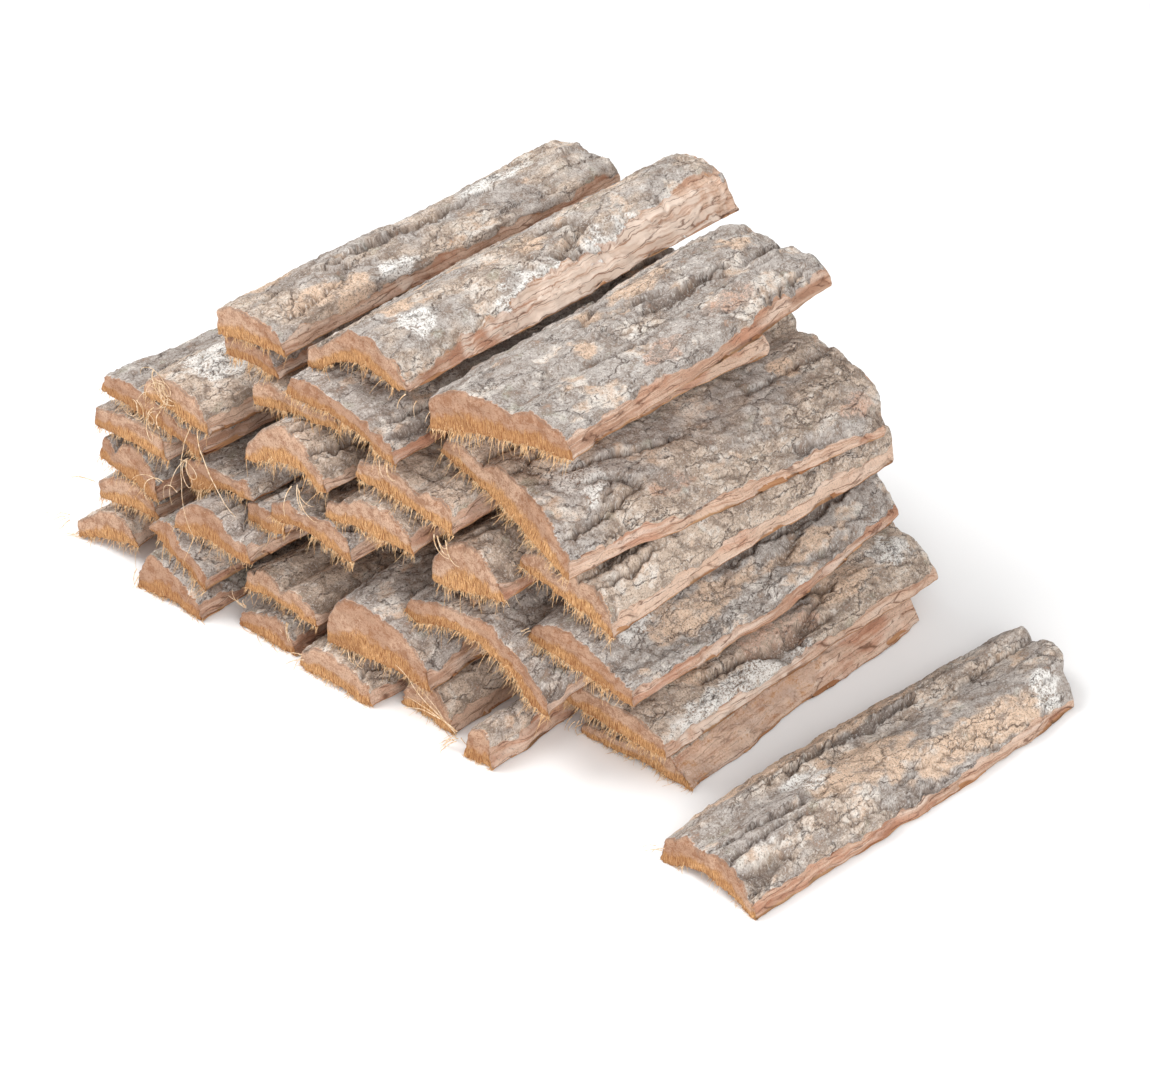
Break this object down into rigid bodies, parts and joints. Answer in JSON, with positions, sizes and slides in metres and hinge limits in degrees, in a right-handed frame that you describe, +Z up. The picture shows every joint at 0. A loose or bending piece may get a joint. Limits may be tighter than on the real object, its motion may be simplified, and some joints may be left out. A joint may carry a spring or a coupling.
{
  "type": "heap of bark strips",
  "caption": "Heap of thick sawn bark strips stacked in overlapping courses, with one more strip lying beside it.",
  "frame": {"origin": "Middle of the bounding box, on the floor the strips lie on.", "axes": "+X across the heap towards the loose strip, +Y along the strips away from their clean saw cuts, +Z up."},
  "size_m": [0.4238, 0.2374, 0.1877],
  "materials": {
    "loose_strip": "rough furrowed bark, grey-brown above and orange-brown where sawn or torn",
    "ground_strip_1": "rough furrowed bark, grey-brown above and orange-brown where sawn or torn",
    "ground_strip_2": "rough furrowed bark, grey-brown above and orange-brown where sawn or torn",
    "ground_strip_3": "rough furrowed bark, grey-brown above and orange-brown where sawn or torn",
    "ground_strip_4": "rough furrowed bark, grey-brown above and orange-brown where sawn or torn",
    "ground_strip_5": "rough furrowed bark, grey-brown above and orange-brown where sawn or torn",
    "ground_strip_6": "rough furrowed bark, grey-brown above and orange-brown where sawn or torn",
    "ground_strip_7": "rough furrowed bark, grey-brown above and orange-brown where sawn or torn",
    "second_strip_1": "rough furrowed bark, grey-brown above and orange-brown where sawn or torn",
    "second_strip_2": "rough furrowed bark, grey-brown above and orange-brown where sawn or torn",
    "second_strip_3": "rough furrowed bark, grey-brown above and orange-brown where sawn or torn",
    "second_strip_4": "rough furrowed bark, grey-brown above and orange-brown where sawn or torn",
    "second_strip_5": "rough furrowed bark, grey-brown above and orange-brown where sawn or torn",
    "second_strip_6": "rough furrowed bark, grey-brown above and orange-brown where sawn or torn",
    "third_strip_1": "rough furrowed bark, grey-brown above and orange-brown where sawn or torn",
    "third_strip_2": "rough furrowed bark, grey-brown above and orange-brown where sawn or torn",
    "third_strip_3": "rough furrowed bark, grey-brown above and orange-brown where sawn or torn",
    "third_strip_4": "rough furrowed bark, grey-brown above and orange-brown where sawn or torn",
    "third_strip_5": "rough furrowed bark, grey-brown above and orange-brown where sawn or torn",
    "third_strip_6": "rough furrowed bark, grey-brown above and orange-brown where sawn or torn",
    "fourth_strip_1": "rough furrowed bark, grey-brown above and orange-brown where sawn or torn",
    "fourth_strip_2": "rough furrowed bark, grey-brown above and orange-brown where sawn or torn",
    "fourth_strip_3": "rough furrowed bark, grey-brown above and orange-brown where sawn or torn",
    "fourth_strip_4": "rough furrowed bark, grey-brown above and orange-brown where sawn or torn",
    "fifth_strip_1": "rough furrowed bark, grey-brown above and orange-brown where sawn or torn",
    "fifth_strip_2": "rough furrowed bark, grey-brown above and orange-brown where sawn or torn",
    "fifth_strip_3": "rough furrowed bark, grey-brown above and orange-brown where sawn or torn",
    "fifth_strip_4": "rough furrowed bark, grey-brown above and orange-brown where sawn or torn",
    "sixth_strip_1": "rough furrowed bark, grey-brown above and orange-brown where sawn or torn",
    "sixth_strip_2": "rough furrowed bark, grey-brown above and orange-brown where sawn or torn",
    "sixth_strip_3": "rough furrowed bark, grey-brown above and orange-brown where sawn or torn",
    "sixth_strip_4": "rough furrowed bark, grey-brown above and orange-brown where sawn or torn",
    "sixth_strip_5": "rough furrowed bark, grey-brown above and orange-brown where sawn or torn",
    "seventh_strip_1": "rough furrowed bark, grey-brown above and orange-brown where sawn or torn",
    "seventh_strip_2": "rough furrowed bark, grey-brown above and orange-brown where sawn or torn",
    "top_strip": "rough furrowed bark, grey-brown above and orange-brown where sawn or torn"
  },
  "bodies": {
    "root": {"loose_strip": "loose_strip", "ground_strip_1": "ground_strip_1", "ground_strip_2": "ground_strip_2", "ground_strip_3": "ground_strip_3", "ground_strip_4": "ground_strip_4", "ground_strip_5": "ground_strip_5", "ground_strip_6": "ground_strip_6", "ground_strip_7": "ground_strip_7", "second_strip_1": "second_strip_1", "second_strip_2": "second_strip_2", "second_strip_3": "second_strip_3", "second_strip_4": "second_strip_4", "second_strip_5": "second_strip_5", "second_strip_6": "second_strip_6", "third_strip_1": "third_strip_1", "third_strip_2": "third_strip_2", "third_strip_3": "third_strip_3", "third_strip_4": "third_strip_4", "third_strip_5": "third_strip_5", "third_strip_6": "third_strip_6", "fourth_strip_1": "fourth_strip_1", "fourth_strip_2": "fourth_strip_2", "fourth_strip_3": "fourth_strip_3", "fourth_strip_4": "fourth_strip_4", "fifth_strip_1": "fifth_strip_1", "fifth_strip_2": "fifth_strip_2", "fifth_strip_3": "fifth_strip_3", "fifth_strip_4": "fifth_strip_4", "sixth_strip_1": "sixth_strip_1", "sixth_strip_2": "sixth_strip_2", "sixth_strip_3": "sixth_strip_3", "sixth_strip_4": "sixth_strip_4", "sixth_strip_5": "sixth_strip_5", "seventh_strip_1": "seventh_strip_1", "seventh_strip_2": "seventh_strip_2", "top_strip": "top_strip"}
  },
  "joints": []
}
